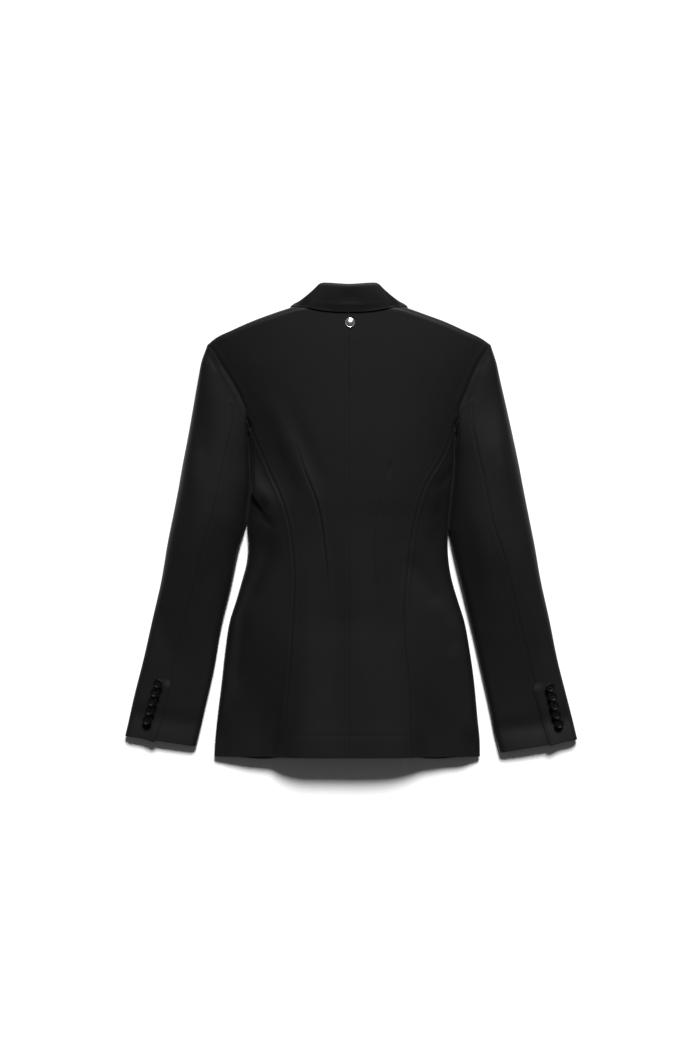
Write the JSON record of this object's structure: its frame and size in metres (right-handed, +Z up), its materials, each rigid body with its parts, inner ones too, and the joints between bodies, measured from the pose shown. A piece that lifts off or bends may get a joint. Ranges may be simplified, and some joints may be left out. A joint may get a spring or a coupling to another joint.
{
  "type": "bustier jacket",
  "caption": "Fitted tailored jacket laid out flat with its back up, with princess seams, a turned collar and buttoned cuffs.",
  "frame": {"origin": "middle of the jacket's box, on the surface that it lies on", "axes": "+X to the wearer's right, +Y from the hem to the collar, +Z up from the surface"},
  "size_m": [0.6998, 0.734, 0.0521],
  "materials": {
    "cloth": "matt black wool crepe with a faint soft sheen",
    "satin_button": "black button with a satin gloss",
    "silver": "polished silver-coloured metal"
  },
  "bodies": {
    "root": {"back_left": "cloth", "back_right": "cloth", "side_left": "cloth", "side_right": "cloth", "front_left": "cloth", "front_right": "cloth", "lapel_left": "cloth", "lapel_right": "cloth", "collar_fall": "cloth", "collar_stand": "cloth", "top_sleeve_left": "cloth", "top_sleeve_right": "cloth", "under_sleeve_left": "cloth", "under_sleeve_right": "cloth", "cuff_button_left_1": "satin_button", "cuff_button_left_2": "satin_button", "cuff_button_left_3": "satin_button", "cuff_button_left_4": "satin_button", "cuff_button_left_5": "satin_button", "cuff_button_right_1": "satin_button", "cuff_button_right_2": "satin_button", "cuff_button_right_3": "satin_button", "cuff_button_right_4": "satin_button", "cuff_button_right_5": "satin_button", "front_button": "satin_button", "neck_stud": "silver"}
  },
  "joints": []
}
